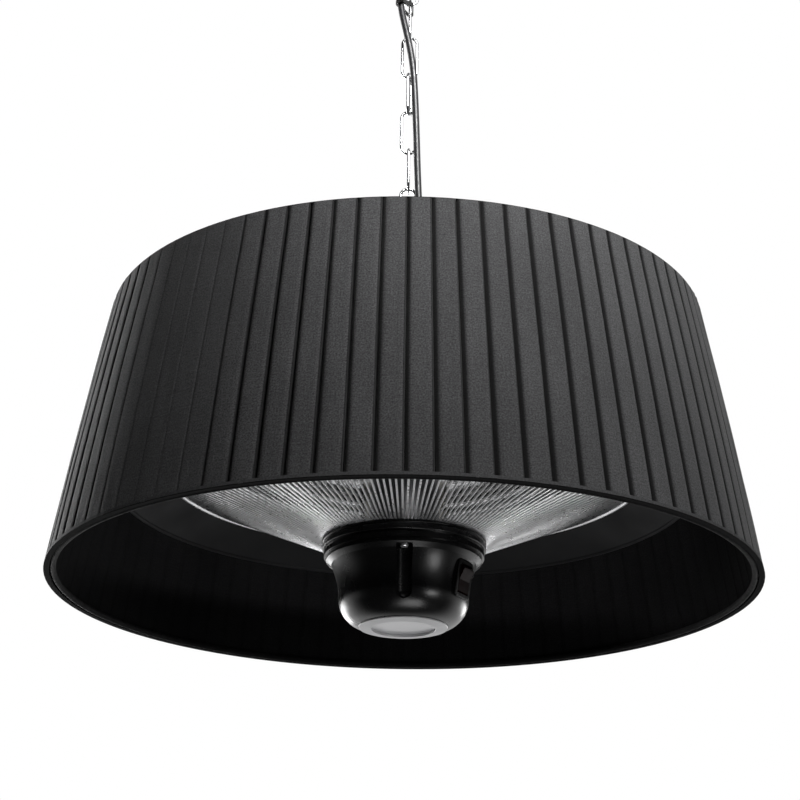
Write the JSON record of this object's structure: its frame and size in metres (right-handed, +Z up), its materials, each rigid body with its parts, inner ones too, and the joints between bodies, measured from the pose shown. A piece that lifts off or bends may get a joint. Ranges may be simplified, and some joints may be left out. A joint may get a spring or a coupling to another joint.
{
  "type": "hanging patio heater",
  "caption": "Ceiling-hung round heater: a pleated drum shade on a chain, with a ring lamp, hood and wire guard inside and a switched lamp pod below.",
  "frame": {"origin": "centre of the ceiling plate's upper face, which is screwed to the ceiling", "axes": "+Z up, against the ceiling; -Y towards the viewer of the picture; +X to the viewer's right; the switch is on the pod's front right"},
  "size_m": [0.6013, 0.6014, 0.7335],
  "materials": {
    "zinc_steel": "satin",
    "white_paint": "satin",
    "black_rubber": "matte",
    "black_nylon": "satin",
    "cream_block": "satin",
    "charcoal_fabric": "matte",
    "black_lining": "matte",
    "black_tape": "matte",
    "dark_paint": "matte",
    "hood_paint": "satin",
    "polished_aluminium": "polished",
    "quartz_glass": "clear",
    "filament_wire": "matte",
    "ceramic": "matte",
    "bright_steel": "polished",
    "black_gloss": "gloss",
    "satin_silver": "satin",
    "clear_lens": "frosted",
    "board_white": "satin",
    "red_rocker": "gloss",
    "lead_sleeve": "satin"
  },
  "bodies": {
    "ceiling": {"ceiling_plate": "zinc_steel", "ceiling_canopy": "white_paint", "ceiling_hook": "zinc_steel", "hook_nuts": "zinc_steel", "cable_grommet": "black_rubber", "supply_terminal": "cream_block", "supply_lead": "black_rubber"},
    "top_link": {"chain_link_1": "zinc_steel", "cable_tie_upper": "black_nylon", "cable_upper": "black_rubber", "cable_middle": "black_rubber"},
    "chain": {"chain_link_2": "zinc_steel", "chain_link_3": "zinc_steel", "chain_link_4": "zinc_steel", "chain_link_5": "zinc_steel", "chain_link_6": "zinc_steel", "chain_link_7": "zinc_steel", "chain_link_8": "zinc_steel", "chain_link_9": "zinc_steel", "cable_tie_lower": "black_nylon", "cable_lower": "black_rubber"},
    "heater": {"hanging_eye": "zinc_steel", "hanger_stem": "zinc_steel", "stem_nuts": "zinc_steel", "shade_cover": "charcoal_fabric", "shade_lining": "black_lining", "shade_top_binding": "black_tape", "shade_bottom_binding": "black_tape", "shade_top_ring": "dark_paint", "shade_bottom_ring": "dark_paint", "shade_spider": "dark_paint", "top_housing": "dark_paint", "housing_lid": "dark_paint", "lid_screws": "zinc_steel", "hanger_bracket": "zinc_steel", "bracket_bolts": "zinc_steel", "terminal_block": "cream_block", "thermal_cutout": "black_gloss", "cable_gland": "black_nylon", "hood": "hood_paint", "reflector": "polished_aluminium", "reflector_spacers": "zinc_steel", "lamp_tube": "quartz_glass", "lamp_filament": "filament_wire", "lamp_end_caps": "ceramic", "lamp_clips": "bright_steel", "guard_rings": "bright_steel", "guard_wires": "bright_steel", "guard_clips": "bright_steel", "centre_column": "polished_aluminium", "pod_collar": "black_gloss", "pod_housing": "black_gloss", "pod_screws": "bright_steel", "pod_base_ring": "satin_silver", "pod_lens": "clear_lens", "led_board": "board_white", "switch_frame": "black_gloss", "inner_leads": "lead_sleeve"},
    "rocker": {"rocker": "red_rocker"}
  },
  "joints": [
    {"name": "hook_swing", "type": "hinge", "parent": "ceiling", "child": "top_link", "pos_m": [0, 0, -0.0724], "axis": [0, 1, 0], "range_deg": [-25, 25], "deforming": ["cable_upper"]},
    {"name": "chain_swing", "type": "hinge", "parent": "top_link", "child": "chain", "pos_m": [0, 0, -0.1121], "axis": [1, 0, 0], "range_deg": [-25, 25], "deforming": ["cable_middle"]},
    {"name": "heater_tilt", "type": "hinge", "parent": "chain", "child": "heater", "pos_m": [0, 0, -0.4417], "axis": [1, 0, 0], "range_deg": [-15, 15], "deforming": ["cable_lower"]},
    {"name": "rocker_press", "type": "hinge", "parent": "heater", "child": "rocker", "pos_m": [0.04527, -0.02614, -0.69643], "axis": [-0.5, -0.866, 0], "range_deg": [0, 20]}
  ]
}
